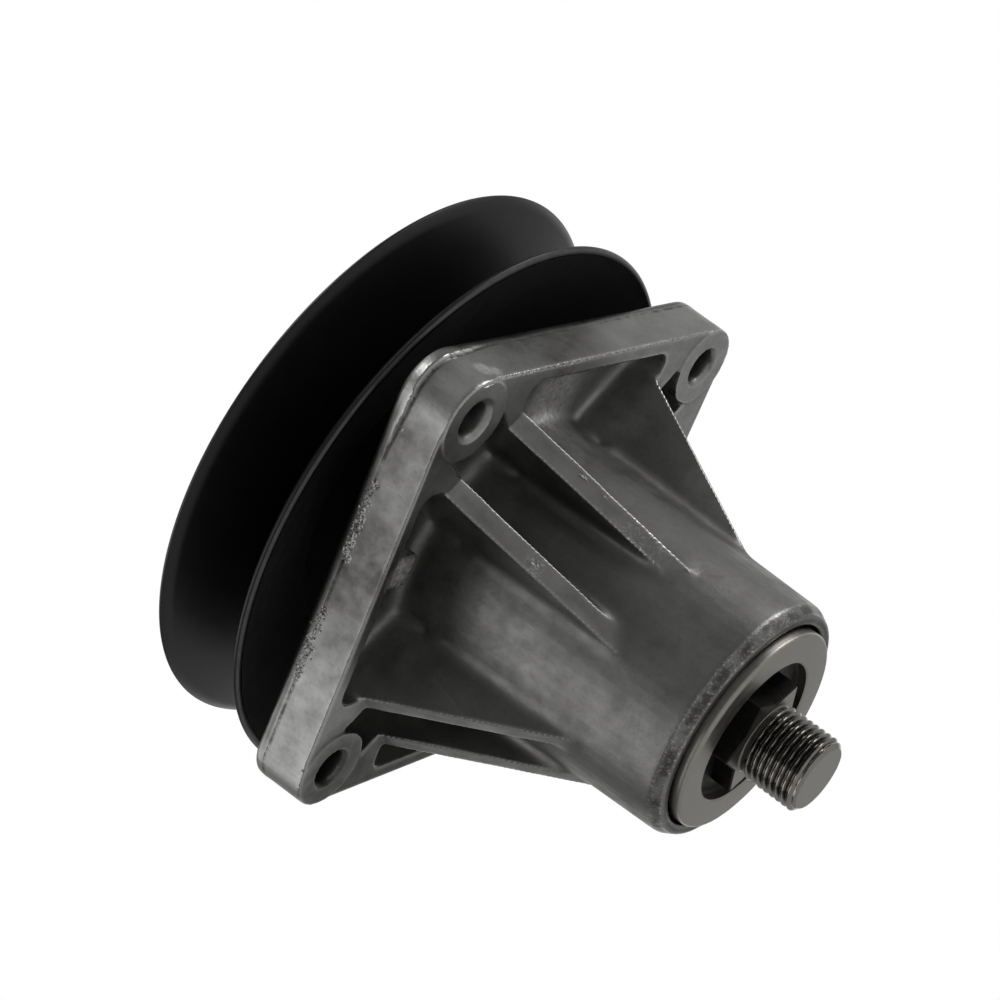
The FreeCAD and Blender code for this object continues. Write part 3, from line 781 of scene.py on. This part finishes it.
def ring_mesh(name, rows, angles, closed_loop):
    """Closed mesh from rows of (radii, heights) in mm. A loop's last row meets its first again."""
    count = len(angles)
    cosine, sine = np.cos(angles), np.sin(angles)
    vertices = []
    for radii, heights in rows:
        radii = np.broadcast_to(radii, count)
        heights = np.broadcast_to(heights, count)
        vertices.append(np.stack([radii * cosine, radii * sine, heights], 1))
    points = (np.concatenate(vertices) * MM).tolist()
    faces = []
    last = len(rows) if closed_loop else len(rows) - 1
    for row in range(last):
        low = row * count
        high = (row + 1) % len(rows) * count
        for step in range(count):
            after = (step + 1) % count
            faces.append((low + step, low + after, high + after, high + step))
    if not closed_loop:
        for row, order in ((0, -1), (len(rows) - 1, 1)):
            centre = len(points)
            points.append([0, 0, float(np.mean(rows[row][1])) * MM])
            for step in range(count):
                pair = (row * count + step, row * count + (step + 1) % count)[::order]
                faces.append((*pair, centre))
    mesh = bpy.data.meshes.new(name)
    mesh.from_pydata(points, [], faces)
    mesh.validate()
    mesh.shade_smooth()
    mesh.set_sharp_from_angle(angle=math.radians(sharp_deg))
    piece = bpy.data.objects.new(name, mesh)
    bpy.context.scene.collection.objects.link(piece)
    return piece


def full_turn(count, start_deg=0.0):
    """Even angles round the axis."""
    return math.radians(start_deg) + np.linspace(0, 2 * math.pi, count, endpoint=False)


def corner_arc(centre, radius, start_deg, end_deg, steps):
    """Points of an arc in the outline's (radius, height) plane."""
    turns = np.radians(np.linspace(start_deg, end_deg, steps + 1))
    return [(centre[0] + radius * math.cos(t), centre[1] + radius * math.sin(t)) for t in turns]


print("grid helpers ready")

# %% [markdown]
# ## Steel for the shaft
# The shaft is a steel forging. Its disc was turned on a lathe, which leaves fine rings round the axis
# and a satin shine. The walls of the star and its recess are painted dark as shade, and the rolled thread
# has painted shade in its roots, with bright rubbed crests. The rings are really about 0.1 mm apart, drawn
# at 0.35 mm.

# %% Turned, forged and rolled steel
def shaft_steel(name, tones, rough, ring_mm, ring_strength, spot_mm=1.6, root_shade=()):
    """Steel with axis rings. Root shade in mm: start radius, darkest radius, lowest height of a painted
    shade.
    """
    made, tree, shader, place, _ = mottled(name, tones, spot_mm, 5.0, 0.6, rough)
    if root_shade:
        unshaded_radius, darkest_radius, lowest = root_shade
        # Painted shade in the thread's roots: darkest deep in the roots, none near the crests.
        root_darkening = add(
            tree, "MapRange",
            {"From Min": darkest_radius * MM, "From Max": unshaded_radius * MM, "To Min": 0.7, "To Max": 0.0},
            {"Value": axis_distance(tree, place)},
        )
        level = add(tree, "SeparateXYZ", {}, {0: place}).outputs["Z"]
        reached = add(tree, "Math", {"operation": "GREATER_THAN", 1: lowest * MM}, {0: level})
        root_shade_share = add(tree, "Math", MULTIPLY, {0: root_darkening.outputs["Result"], 1: reached.outputs[0]})
        clean = shader.inputs["Base Color"].links[0].from_socket
        black = add(
            tree, "Mix", {"data_type": "RGBA", MIX_TO: linear("#0c0b0b")},
            {MIX_FACTOR: root_shade_share.outputs[0], MIX_FROM: clean},
        )
        tree.links.new(black.outputs[MIX_RESULT], shader.inputs["Base Color"])
    ring_scale = per_mm / ring_mm / 20 * math.pi
    wave = add(
        tree, "TexWave",
        {"wave_type": "RINGS", "rings_direction": "Z", "Scale": ring_scale, "Distortion": 0.4, "Detail": 1.0},
        {"Vector": place},
    )
    rings = add(
        tree, "Bump", {"Strength": ring_strength, "Distance": 0.02 * MM},
        {"Height": wave.outputs["Fac"]},
    )
    shader.inputs["Metallic"].default_value = 1.0
    tree.links.new(rings.outputs["Normal"], shader.inputs["Normal"])
    return made


turned_steel = shaft_steel("turned_steel", ("#7d7a75", "#908d87"), (0.3, 0.4), 0.35, 0.35)
star_shade_steel = shaft_steel("steel_with_painted_star_shade", ("#1d1c1c", "#33312f"), (0.42, 0.62), 0.5, 0.05, 0.8)
rolled_thread = shaft_steel(
    "rolled_thread_steel", ("#6d6a66", "#86837e"), (0.16, 0.24), 0.3, 0.03, root_shade=(7.7, 7.25, -72.8)
)
print("made", turned_steel.name, star_shade_steel.name, rolled_thread.name)

# %% [markdown]
# ## Shaft with star and threads
# A 5/8 inch fine thread climbs 1.411 mm a turn. A screw modifier could sweep a tooth along a helix, but
# joining it to the neck and the chamfer is fiddly. In the grid a thread is only a dip in the radius that
# depends on height and angle, and the end's chamfer is the smaller of two radii.

# %% Shaft with star and threads
thread_pitch = 25.4 / 18
thread_depth = 0.78
shaft_low, shaft_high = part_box("spindle_shaft")
stud_end = shaft_low.z / MM
shaft_top = shaft_high.z / MM
disc_radius = 21.9
stud_radius = 0.625 * 25.4 / 2
seat_face = stud_end + 15.1
star_floor = seat_face + 2.5
star_face = star_floor - 4.5
neck_end = star_face - 1.4
neck_radius = 7.3
recess_radius = 15.4
disc_top = seat_face + 5.4
shoulder_radius = 11.5
lower_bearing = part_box("lower_bearing_inner_ring")[0].z / MM
bearing_radius = 8.5
web_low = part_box("pulley_spacer")[1].z / MM
web_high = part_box("pulley_washer")[0].z / MM
half_flats = 7.0
star_tip, star_valley = 12.0, 8.6
star_turn_deg = 49.0
star_points = 6
edge_break = 0.3

columns_round = 240
shaft_angles = full_turn(columns_round, star_turn_deg)


def thread_dip(height):
    """How far the thread lies below its crest, at each angle."""
    phase = np.mod(height / thread_pitch - shaft_angles / (2 * math.pi), 1.0)
    from_crest = 1 - np.abs(2 * phase - 1)
    crest_share, root_share = 0.14, 0.8
    return thread_depth * np.clip((from_crest - crest_share) / (root_share - crest_share), 0, 1)


def star_radius(inset):
    """Radius of the star's straight sides at each angle, drawn in by an inset."""
    sector = math.pi / star_points
    swing = np.mod(shaft_angles - math.radians(star_turn_deg), 2 * sector)
    swing = np.minimum(swing, 2 * sector - swing)
    tip, valley = star_tip - inset, star_valley - inset
    return tip * valley * math.sin(sector) / (tip * np.sin(swing) + valley * np.sin(sector - swing))


def flat_radius():
    """The bearing seat with two flats milled on it."""
    across = np.maximum(np.abs(np.cos(shaft_angles)), half_flats / bearing_radius)
    return half_flats / across


def threaded_rows(low, high, chamfer_at_low):
    """Rows of a thread between two heights, with its chamfered end at one of them."""
    made = []
    chamfer, slope, rows_a_turn = 1.1, 1.15, 16
    step = thread_pitch / rows_a_turn
    for height in np.minimum(np.arange(low, high + step / 2, step), high):
        from_end = height - low if chamfer_at_low else high - height
        cone = stud_radius - max(0.0, chamfer - from_end) * slope
        made.append((np.minimum(stud_radius - thread_dip(height), cone), height))
    return made


end_radius = stud_radius - 1.75
seat_gap = 0.03
shaft_rows = [(end_radius, stud_end)]
shaft_rows += threaded_rows(stud_end, neck_end, True)
shaft_rows += [(neck_radius, neck_end + edge_break), (neck_radius, star_face - edge_break)]
shaft_rows += [(neck_radius + edge_break, star_face)]
star_first = len(shaft_rows) - 1
shaft_rows += [(star_radius(edge_break), star_face), (star_radius(0.0), star_face + edge_break)]
shaft_rows += [(star_radius(0.0), star_floor)]
recess_bevel = 0.5
shaft_rows += [(recess_radius - recess_bevel, star_floor), (recess_radius, star_floor - recess_bevel)]
disc_first = len(shaft_rows) - 1
shaft_rows += [(recess_radius, seat_face + edge_break), (recess_radius + edge_break, seat_face)]
round_edge = 0.9
shaft_rows += corner_arc((disc_radius - round_edge, seat_face + round_edge), round_edge, -90, 0, 6)
shaft_rows += [(disc_radius, disc_top - edge_break), (disc_radius - edge_break, disc_top)]
shaft_rows += [(shoulder_radius, disc_top), (shoulder_radius, lower_bearing), (bearing_radius, lower_bearing)]
shaft_rows += [(bearing_radius, web_low), (flat_radius(), web_low), (flat_radius(), web_high - seat_gap)]
upper_first = len(shaft_rows)
shaft_rows += threaded_rows(web_high - seat_gap, shaft_top, False)
shaft_rows += [(end_radius, shaft_top)]

shaft = ring_mesh("spindle_forging", shaft_rows, shaft_angles, False)
for steel in (turned_steel, star_shade_steel, rolled_thread):
    shaft.data.materials.append(steel)
TURNED, STAR_SHADE, THREAD = range(3)
row_steel = np.full(len(shaft_rows), TURNED)
row_steel[1:star_first] = THREAD
# The star's walls and its recess get the dark steel, a painted shade.
row_steel[star_first + 1:disc_first] = STAR_SHADE
row_steel[upper_first:-1] = THREAD
grid_faces = (len(shaft_rows) - 1) * columns_round
face_steel = np.full(len(shaft.data.polygons), TURNED, np.int32)
face_steel[:grid_faces] = np.repeat(row_steel[:-1], columns_round)
shaft.data.polygons.foreach_set("material_index", face_steel)
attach(shaft, "spindle")
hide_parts("spindle_shaft")
print("shaft rows", len(shaft_rows), "faces", len(shaft.data.polygons), "stud end", round(stud_end, 2))

# %% [markdown]
# ## Black paint on pressed steel
# The pulley was pressed from sheet and dipped or sprayed black. The paint is a dark satin plastic film
# over metal: a low, broad shine, a faint orange peel about a millimetre across, and grey scuffs at the
# rim where belts, hands and other parts rubbed it. The grey rim is also a painted highlight along the
# lips, and the dish sides get a duller copy of the paint that stands in for their shade.

# %% Satin black paint
def black_paint(name, rough, shine):
    """Black paint with an orange peel: rough is its least and most roughness, shine its specular level."""
    peel_mm, scuff_mm = 1.3, 5.0
    made, tree, shader, place, _ = mottled(name, ("#08080a", "#0d0d0f"), scuff_mm, 6.0, 0.7, rough)
    peel = add(tree, "TexNoise", {"Scale": per_mm / peel_mm, "Detail": 2.0}, {"Vector": place})
    orange_peel = add(
        tree, "Bump", {"Strength": 0.12, "Distance": 0.05 * MM}, {"Height": peel.outputs["Fac"]}
    )
    shader.inputs["Specular IOR Level"].default_value = shine
    tree.links.new(orange_peel.outputs["Normal"], shader.inputs["Normal"])
    return made


def worn_and_highlighted_edge():
    """The sheared rim: paint thin and rubbed through to grey steel in places, and a painted highlight."""
    patch_mm = 2.2
    made, _, shader, _, _ = mottled("worn_rim_with_painted_highlight", ("#161617", "#504f4e"), patch_mm, 4.0, 0.7)
    shader.inputs["Metallic"].default_value = 0.4
    shader.inputs["Roughness"].default_value = 0.4
    return made


pulley_paint = black_paint("satin_black_paint", (0.34, 0.4), 0.27)
# The dish sides get a duller copy of the satin paint, which stands in for their shade.
shaded_dish_paint = black_paint("satin_black_dulled_for_dish_shade", (0.6, 0.7), 0.08)
rim_wear_and_highlight = worn_and_highlighted_edge()
print("made", pulley_paint.name, shaded_dish_paint.name, rim_wear_and_highlight.name)

# %% [markdown]
# ## Pulley halves
# Each half is one round of sheet 1.6 mm thick: flat in the middle, then a flank that slopes 19 degrees
# to hold the belt, then a lip curled outwards so that its edge can't cut the belt. The outline follows
# the sheet: straight runs and bends of the same thickness, drawn once and mirrored for the other half.

# %% Pulley halves
sheet = 1.6
flank_deg, lip_deg = 19.0, 55.0
root_bend, lip_bend = 2.5, 3.4
rim_radius = 121.7 / 2
pulley_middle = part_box("pulley_upper_half")[0].z / MM
half_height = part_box("pulley_upper_half")[1].z / MM - pulley_middle
hole_room = 0.04
hole_radius = bearing_radius + hole_room
hole_flats = half_flats + hole_room


def half_outline():
    """Closed outline of the upper half, as (radius, height above the middle)."""
    flank, lip = math.radians(flank_deg), math.radians(lip_deg)
    root, curl = root_bend + sheet, lip_bend + sheet
    rise = root * (1 - math.cos(flank)) + curl * (math.cos(flank) - math.cos(lip)) + sheet * math.cos(lip)
    flank_length = (half_height - rise) / math.sin(flank)
    run = curl * (math.sin(lip) - math.sin(flank)) + root * math.sin(flank) + flank_length * math.cos(flank)
    web_radius = rim_radius - run
    root_centre = (web_radius, root)
    lip_centre = (
        web_radius + root * math.sin(flank) + flank_length * math.cos(flank) - curl * math.sin(flank),
        root * (1 - math.cos(flank)) + flank_length * math.sin(flank) + curl * math.cos(flank),
    )
    belt_side = corner_arc(root_centre, root, -90, -90 + flank_deg, 4)
    belt_side += corner_arc(lip_centre, curl, -90 + flank_deg, -90 + lip_deg, 8)
    dish_side = corner_arc(lip_centre, lip_bend, -90 + lip_deg, -90 + flank_deg, 8)
    dish_side += corner_arc(root_centre, root_bend, -90 + flank_deg, -90, 4)
    rim = (np.array(belt_side[-1]) + np.array(dish_side[0])) / 2
    out = np.array([math.cos(lip), math.sin(lip)])
    bulge = 0.5
    half_sheet = np.array(belt_side[-1]) - rim
    rounded = []
    for turn in np.radians(np.linspace(0, 180, 9)):
        rounded.append(tuple(rim - out * bulge * (1 - math.sin(turn)) + half_sheet * math.cos(turn)))
    return belt_side[:-1] + rounded + dish_side[1:]


PAINTED, RIM_WEAR_AND_HIGHLIGHT, DISH = range(3)
dish_after = 3
pulley_columns = 288
pulley_angles = full_turn(pulley_columns)
hole = hole_flats / np.maximum(np.abs(np.cos(pulley_angles)), hole_flats / hole_radius)
for half, side in (("upper", 1), ("lower", -1)):
    outline = [(radius, pulley_middle + side * height) for radius, height in half_outline()]
    rows = [(hole, pulley_middle)] + outline + [(hole, pulley_middle + side * sheet)]
    pressing = ring_mesh("pulley_" + half + "_pressing", rows, pulley_angles, True)
    if side < 0:
        pressing.data.flip_normals()
    for paint in (pulley_paint, rim_wear_and_highlight, shaded_dish_paint):
        pressing.data.materials.append(paint)
    row_of_face = np.arange(len(pressing.data.polygons)) // pulley_columns
    rim_row = len(rows) // 2
    finish = np.where(row_of_face > rim_row + dish_after, DISH, PAINTED)
    # The lip's edge rows get the grey rim: partly worn paint, partly a painted highlight.
    finish[(row_of_face == rim_row - 1) | (row_of_face == rim_row)] = RIM_WEAR_AND_HIGHLIGHT
    pressing.data.polygons.foreach_set("material_index", finish.astype(np.int32))
    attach(pressing, "spindle")
    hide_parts("pulley_" + half + "_half")
    print(pressing.name, "faces", len(pressing.data.polygons))

# %% [markdown]
# ## Small steel and rubber pieces
# The nut and washer are zinc plated: pale, slightly blue, satin. Bearing rings and balls are ground
# bright, the cages are pressed sheet, and the seals are black nitrile rubber. Their solids are already
# right, so they only get materials.

# %% Plating, bearing steel and rubber
def plain_metal(name, tones, rough, spot_mm):
    """A metal with a cloudy tone and an uneven shine."""
    made, tree, shader, _, cloud = mottled(name, tones, spot_mm, 5.0, 0.65, rough)
    skin = add(tree, "Bump", {"Strength": 0.15, "Distance": 0.03 * MM}, {"Height": cloud})
    shader.inputs["Metallic"].default_value = 1.0
    tree.links.new(skin.outputs["Normal"], shader.inputs["Normal"])
    return made


def nitrile_rubber():
    """Moulded black rubber: matt, with fine pores."""
    pore_mm = 0.7
    made, tree, shader, _, pores = mottled("nitrile_rubber", ("#141414", "#222222"), pore_mm, 4.0)
    skin = add(tree, "Bump", {"Strength": 0.2, "Distance": 0.04 * MM}, {"Height": pores})
    shader.inputs["Roughness"].default_value = 0.6
    tree.links.new(skin.outputs["Normal"], shader.inputs["Normal"])
    return made


finish_of_slot = {
    "plated_steel": plain_metal("zinc_plated_steel", ("#8f9295", "#a9abad"), (0.28, 0.42), 2.5),
    "bearing_steel": plain_metal("ground_bearing_steel", ("#9a9a9a", "#b2b2b1"), (0.14, 0.24), 1.5),
    "cage_steel": plain_metal("pressed_cage_steel", ("#7e7c78", "#96938e"), (0.3, 0.45), 1.5),
    "seal_rubber": nitrile_rubber(),
    "machined_steel": turned_steel,
}
replaced = {"housing", "spindle_shaft", "pulley_upper_half", "pulley_lower_half"}
for subpart in frame["record"]["subparts"]:
    if subpart["node"] in replaced:
        continue
    for holder in frame["nodes"][subpart["node"]].material_slots:
        holder.material = finish_of_slot[subpart["material_slot"]]
print("finishes", len(finish_of_slot))

# %% [markdown]
# ## Studio
# The photo is lit by a broad soft light from the left and two smaller ones from above, before a white
# backdrop. The world is white for the camera, and metal sees it white behind the part, where the backdrop
# stands, while a dim grey lights the rest. The floor lies below the camera, out of its view.

# %% Studio
part_middle = (cad_bounds[0] + cad_bounds[1]) / 2


def softbox(name, toward, distance, width, height, watts):
    """A rectangular lamp that faces the part."""
    lamp = bpy.data.lights.new(name, "AREA")
    lamp.shape = "RECTANGLE"
    lamp.size = width
    lamp.size_y = height
    lamp.energy = watts
    holder = bpy.data.objects.new(name, lamp)
    direction = Vector(toward).normalized()
    holder.location = part_middle + direction * distance
    holder.rotation_euler = direction.to_track_quat("Z", "Y").to_euler()
    bpy.context.scene.collection.objects.link(holder)


def from_view(right, up, back):
    """A direction told as the photo sees it: to the right, up, and back towards the camera."""
    return right * image_right + up * image_up + back * toward_camera


lamp_distance = 0.9
softbox("left_softbox", from_view(-0.93, -0.18, 0.08), lamp_distance, 1.1, 0.9, 5.4)
softbox("upper_right_softbox", from_view(0.62, 0.76, 0.0), lamp_distance, 0.5, 0.4, 3.0)
softbox("upper_left_softbox", from_view(-0.53, 0.83, 0.12), lamp_distance, 0.4, 0.4, 2.4)
softbox("back_left_softbox", from_view(-0.5, 0.64, -0.57), lamp_distance, 0.4, 0.4, 0.8)

# %% World
world = bpy.data.worlds.new("studio")
bpy.context.scene.world = world
world.use_nodes = True
sky = world.node_tree
sky.nodes.clear()
rays = add(sky, "LightPath")
direction = add(sky, "TexCoord").outputs["Generated"]
behind = from_view(0.5, -0.25, -0.83).normalized()
facing_backdrop = add(sky, "VectorMath", {"operation": "DOT_PRODUCT", 1: behind}, {0: direction})
backdrop = add(
    sky, "MapRange", {"From Min": 0.4, "From Max": 0.85, "interpolation_type": "SMOOTHSTEP"},
    {"Value": facing_backdrop.outputs["Value"]},
)
ray = rays.outputs
in_metal = add(sky, "Math", MULTIPLY, {0: ray["Is Glossy Ray"], 1: backdrop.outputs["Result"]})
seen = add(sky, "Math", MAXIMUM, {0: ray["Is Camera Ray"], 1: ray["Is Transmission Ray"]})
white_share = add(sky, "Math", MAXIMUM, {0: seen.outputs[0], 1: in_metal.outputs[0]})
dim = add(sky, "Background", {"Color": linear("#808080"), "Strength": 1.0})
white = add(sky, "Background", {"Color": linear("#ffffff"), "Strength": 1.0})
both = add(
    sky, "MixShader", {}, {0: white_share.outputs[0], 1: dim.outputs[0], 2: white.outputs[0]}
)
add(sky, "OutputWorld", {}, {"Surface": both.outputs[0]})
print("world nodes", len(sky.nodes))

# %% Floor
floor_drop = 0.35
floor_half = 3.0
floor_mesh = bpy.data.meshes.new("studio_floor")
sides = ((-1, -1), (1, -1), (1, 1), (-1, 1))
floor_corners = [(x * floor_half, y * floor_half, -floor_drop) for x, y in sides]
floor_mesh.from_pydata(floor_corners, [], [(0, 1, 2, 3)])
floor = bpy.data.objects.new("studio_floor", floor_mesh)
bpy.context.scene.collection.objects.link(floor)
paper, sheet_tree, sheet_shader, _ = new_material("white_paper_floor")
sheet_shader.inputs["Base Color"].default_value = linear("#f4f4f4")
sheet_shader.inputs["Roughness"].default_value = 0.8
ray = add(sheet_tree, "LightPath").outputs
glow = add(sheet_tree, "Emission", {"Color": linear("#ffffff"), "Strength": 1.0})
mirrored_share, glow_share = 0.28, 0.8
mirrored = add(
    sheet_tree, "Math", {"operation": "MULTIPLY", 1: mirrored_share}, {0: ray["Is Glossy Ray"]}
)
seen = add(sheet_tree, "Math", MAXIMUM, {0: ray["Is Camera Ray"], 1: mirrored.outputs[0]})
glowing = add(sheet_tree, "Math", {"operation": "MULTIPLY", 1: glow_share}, {0: seen.outputs[0]})
lit = add(
    sheet_tree, "MixShader", {},
    {0: glowing.outputs[0], 1: sheet_shader.outputs[0], 2: glow.outputs[0]},
)
sheet_tree.links.new(lit.outputs[0], sheet_tree.nodes["Material Output"].inputs["Surface"])
floor_mesh.materials.append(paper)
print("floor at", -floor_drop, "m")
